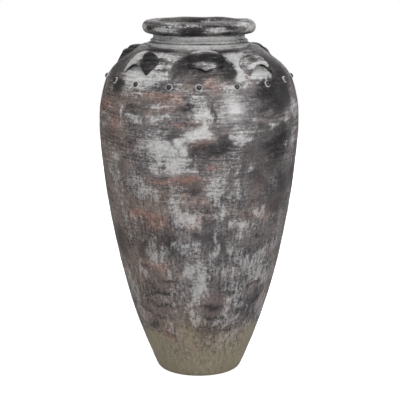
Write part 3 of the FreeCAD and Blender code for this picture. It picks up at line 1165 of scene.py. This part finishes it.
@dataclass(frozen=True)
class BrushedWash:
    """Black and pale washes dry-brushed over terracotta, bare and tan at the foot.

    To the eye it is a chalky charcoal ground, with streaks of pale wash that skip
    over the clay, rust where the clay comes through, and a satin black where the
    dark wash lies thick.

    The lifts raise how much of a layer a piece carries. A polished piece has satin
    patches, which are smoother and shine more.
    """

    name: str
    pale_lift: float = 0.0
    soot_lift: float = 0.0
    gloss: float = 0.0
    polished: bool = False
    ground: Stops = ((0.36, "#262527"), (0.45, "#4f4c4d"), (0.54, "#7d797a"), (0.64, "#aba8a7"))
    bare: Stops = ((0.36, "#807862"), (0.5, "#918974"), (0.64, "#a29a86"))
    inside: Stops = ((0.38, "#4b3a31"), (0.62, "#7d6554"))
    tint: Mix = Mix(grain=0.42, brush=0.319, other=Pattern.CLOUDS, other_share=0.261)
    marks: Mix = Mix(grain=0.38, brush=0.37, other=Pattern.SPECKS, other_share=0.25)
    level_above: float = 0.86
    upright_below: float = 0.22
    layer_force: float = 0.32
    veil_edge: tuple[float, float] = (-0.08, 0.30)
    skip_edge: tuple[float, float] = (0.0, 0.12)
    bare_top: float = 0.192
    bare_whole: float = 0.045
    bare_foot_share: float = 0.5
    bare_patch_share: float = 0.35
    bare_edge: tuple[float, float] = (0.58, 1.02)
    bare_hides: float = 0.9
    roughness: float = 0.42
    grain_roughness: float = 0.3
    pale_roughness: float = 0.2
    satin_roughness: float = -0.31
    shine: float = 0.14
    satin_shine: float = 0.74
    bump: float = 0.5
    bump_height: float = 1.5 * MM

    def build(self) -> bpy.types.Material:
        """Lay the coats over each other, from the ground up.

        Returns:
            The material.
        """
        material = bpy.data.materials.new(self.name)
        tree = NodeTree(material)
        place = tree.add("TexCoord", {}, "Object")
        height = tree.add("SeparateXYZ", {"Vector": place}, "Z")
        noises = {}
        for pattern in Pattern:
            lengths, detail, roughness, shift = pattern.value
            scale = tuple(1.0 / (length * MM) for length in lengths)
            moved = tree.add("Mapping", {"Vector": place, "Location": (shift, shift, shift), "Scale": scale})
            settings = {"Vector": moved, "Scale": 1.0, "Detail": detail, "Roughness": roughness}
            noises[pattern] = tree.add("TexNoise", settings, "Fac")
        layers = {tone: tree.add("Attribute", {}, "Fac", attribute_name=tone.value) for tone in Tone}

        # The brush went round the shoulder and up and down the lower wall.
        level = noises[Pattern.LEVEL_BRISTLES]
        upright = tree.add("MapRange", {"Value": height, "From Min": self.level_above,
                                        "From Max": self.upright_below}, interpolation_type="SMOOTHSTEP")
        change = tree.add("Math", {0: noises[Pattern.UPRIGHT_BRISTLES], 1: level}, operation="SUBTRACT")
        brush = tree.add("Math", {0: upright, 1: change, 2: level}, operation="MULTIPLY_ADD")
        grain = noises[Pattern.GRAIN]
        mixes = []
        for mix in (self.tint, self.marks):
            total = 0.0
            for part, share in ((noises[mix.other], mix.other_share), (brush, mix.brush), (grain, mix.grain)):
                total = tree.add("Math", {0: part, 1: share, 2: total}, operation="MULTIPLY_ADD")
            mixes.append(total)
        tint, marks = mixes

        coat = tree.add("ValToRGB", {"Fac": tint}, stops=self.ground)
        lifts = {Tone.PALE: self.pale_lift, Tone.SOOT: self.soot_lift}
        covers = {}
        for wash in WASHES:
            wanted = tree.add("Math", {0: layers[wash.tone], 1: lifts.get(wash.tone, 0.0)}, operation="ADD")
            wanted = tree.add("Math", {0: layers[Tone.SOOT], 1: wash.over_soot, 2: wanted},
                              operation="MULTIPLY_ADD")
            drift = tree.add("Math", {0: noises[wash.drift], 1: 0.5}, operation="SUBTRACT")
            wanted = tree.add("Math", {0: wanted, 1: drift}, operation="ADD")
            wanted = tree.add("Math", {0: wanted, 1: self.layer_force, 2: marks}, operation="MULTIPLY_ADD")
            cover = 0.0
            for (low, high), share in ((self.veil_edge, 1.0 - wash.skips), (self.skip_edge, wash.skips)):
                edge = tree.add("MapRange", {"Value": wanted, "From Min": wash.starts + low,
                                             "From Max": wash.starts + high}, interpolation_type="SMOOTHSTEP")
                cover = tree.add("Math", {0: edge, 1: share, 2: cover}, operation="MULTIPLY_ADD")
            hides = tree.add("Math", {0: upright, 1: wash.thins, 2: wash.hides}, operation="MULTIPLY_ADD")
            share = tree.add("Math", {0: cover, 1: hides}, operation="MULTIPLY")
            upper = tree.add("ValToRGB", {"Fac": tint}, stops=wash.stops)
            coat = tree.add("Mix", {"Factor": share, 6: coat, 7: upper}, 2, data_type="RGBA")
            covers[wash.tone] = cover

        foot = tree.add("MapRange", {"Value": height, "From Min": self.bare_top, "From Max": self.bare_whole})
        clay = tree.add("Math", {0: foot, 1: self.bare_foot_share, 2: marks}, operation="MULTIPLY_ADD")
        clay = tree.add("Math", {0: layers[Tone.BARE], 1: self.bare_patch_share, 2: clay},
                        operation="MULTIPLY_ADD")
        clay = tree.add("MapRange", {"Value": clay, "From Min": self.bare_edge[0],
                                     "From Max": self.bare_edge[1]}, interpolation_type="SMOOTHSTEP")
        clay = tree.add("Math", {0: clay, 1: self.bare_hides}, operation="MULTIPLY")
        hollow = tree.add("Attribute", {}, "Fac", attribute_name="inside")
        for share, pattern, stops in ((clay, marks, self.bare), (hollow, tint, self.inside)):
            upper = tree.add("ValToRGB", {"Fac": pattern}, stops=stops)
            coat = tree.add("Mix", {"Factor": share, 6: coat, 7: upper}, 2, data_type="RGBA")

        satin = layers[Tone.SATIN]
        rough = self.roughness - self.gloss
        for part, share in ((grain, self.grain_roughness), (satin, self.satin_roughness),
                            (covers[Tone.PALE], self.pale_roughness)):
            rough = tree.add("Math", {0: part, 1: share, 2: rough}, operation="MULTIPLY_ADD")
        shine = self.shine + self.gloss
        if self.polished:
            shine = tree.add("Math", {0: satin, 1: self.satin_shine, 2: shine}, operation="MULTIPLY_ADD")
        bump = tree.add("Bump", {"Height": marks, "Strength": self.bump, "Distance": self.bump_height})
        shader = tree.add("BsdfPrincipled", {"Base Color": coat, "Roughness": rough, "Normal": bump,
                                             "Specular IOR Level": shine})
        tree.add("OutputMaterial", {"Surface": shader})
        return material


@dataclass(frozen=True)
class Lamp:
    """One soft studio light, aimed at a point of the jar."""

    name: str
    place: tuple[float, float, float]
    aim: tuple[float, float, float]
    width: float
    height: float
    power: float

    def build(self) -> None:
        """Hang the light in the scene."""
        light = bpy.data.lights.new(self.name, "AREA")
        light.shape = "RECTANGLE"
        light.size = self.width
        light.size_y = self.height
        light.energy = self.power
        lamp = bpy.data.objects.new(self.name, light)
        lamp.location = self.place
        way = Vector(self.aim) - Vector(self.place)
        lamp.rotation_euler = way.to_track_quat("-Z", "Y").to_euler()
        bpy.context.scene.collection.objects.link(lamp)


@dataclass
class Studio:
    """The plain white setting: a pale floor, soft lights and the camera of the photograph."""

    lamps: tuple[Lamp, ...] = (
        Lamp("KeyRight", (2.5, -2.9, 1.55), aim=(0, 0, 0.6), width=0.8, height=1.0, power=54.0),
        Lamp("Overhead", (0.0, -1.2, 3.2), aim=(0, 0, 0.5), width=2.6, height=2.2, power=48.0),
        Lamp("FillLeft", (-2.6, -3.0, 1.6), aim=(0, 0, 0.5), width=2.0, height=2.4, power=38.0),
        Lamp("FillBack", (0.4, 3.6, 1.5), aim=(0, 0, 0.6), width=2.4, height=2.0, power=46.0),
    )
    floor_size: float = 8.0
    paper_glow: float = 0.88
    ambient: float = 0.22
    camera_place: tuple[float, float, float] = (0.0028, -4.2, 1.4)
    camera_tilt: float = 77.76
    lens: float = 136.08
    sensor_width: float = 36.0

    def world(self) -> None:
        """Make the surroundings white for the camera and softly lit for the jar."""
        world = bpy.data.worlds.new("Studio")
        bpy.context.scene.world = world
        tree = NodeTree(world)
        seen = tree.add("Background", {"Color": WHITE})
        lit = tree.add("Background", {"Color": WHITE, "Strength": self.ambient})
        by_camera = tree.add("LightPath", {}, "Is Camera Ray")
        tree.add("OutputWorld", {"Surface": tree.add("MixShader", {0: by_camera, 1: lit, 2: seen})})

    def floor(self) -> None:
        """Lay the floor: white matt paper that glows for the camera and keeps the jar's soft shadow."""
        half = self.floor_size / 2
        corners = [(-half, -half, 0), (half, -half, 0), (half, half, 0), (-half, half, 0)]
        mesh = bpy.data.meshes.new("StudioFloor")
        mesh.from_pydata(corners, [], [(0, 1, 2, 3)])
        floor = bpy.data.objects.new("StudioFloor", mesh)
        bpy.context.scene.collection.objects.link(floor)
        paper = bpy.data.materials.new("white studio paper")
        tree = NodeTree(paper)
        by_camera = tree.add("LightPath", {}, "Is Camera Ray")
        glow = tree.add("Math", {0: by_camera, 1: self.paper_glow}, operation="MULTIPLY")
        shader = tree.add("BsdfPrincipled", {"Base Color": colour("#e4e4e4"), "Roughness": 0.9,
                                             "Emission Color": WHITE, "Emission Strength": glow})
        tree.add("OutputMaterial", {"Surface": shader})
        mesh.materials.append(paper)

    def camera(self) -> None:
        """Set the camera where the photograph was taken from."""
        data = bpy.data.cameras.new("Camera")
        data.lens = self.lens
        data.sensor_width = self.sensor_width
        camera = bpy.data.objects.new("Camera", data)
        camera.location = self.camera_place
        camera.rotation_euler = (math.radians(self.camera_tilt), 0.0, 0.0)
        bpy.context.scene.collection.objects.link(camera)
        bpy.context.scene.camera = camera

    def build(self) -> None:
        """Set the stage, the lights, the camera and the view transform."""
        self.world()
        self.floor()
        for lamp in self.lamps:
            lamp.build()
        self.camera()
        bpy.context.scene.view_settings.view_transform = "Standard"


def main() -> None:
    """Dress every node of the jar and set the studio round it."""
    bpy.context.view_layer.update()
    outline = Outline()
    # Chalky grey with pale streaks on the wall, paler and blacker at the mouth.
    wall = BrushedWash("charcoal and pale wash over clay", pale_lift=0.05, polished=True).build()
    pale = BrushedWash("pale wash on the mouth", pale_lift=0.1, soot_lift=0.12, polished=True).build()
    # Mostly dark on the loops, and a shining black on the pellets.
    dark = BrushedWash("dark wash on the loops", pale_lift=0.1, soot_lift=0.25).build()
    black = BrushedWash("black wash on the pellets", soot_lift=0.4, gloss=0.36).build()
    JarBody(outline).build(wall)
    Mouth(outline).build(pale, wall)
    for loop in LOOPS:
        loop.build(outline, dark)
    Pellets(outline).build(black)
    Studio().build()


if __name__ == "__main__":
    logging.basicConfig(level=logging.INFO)
    main()
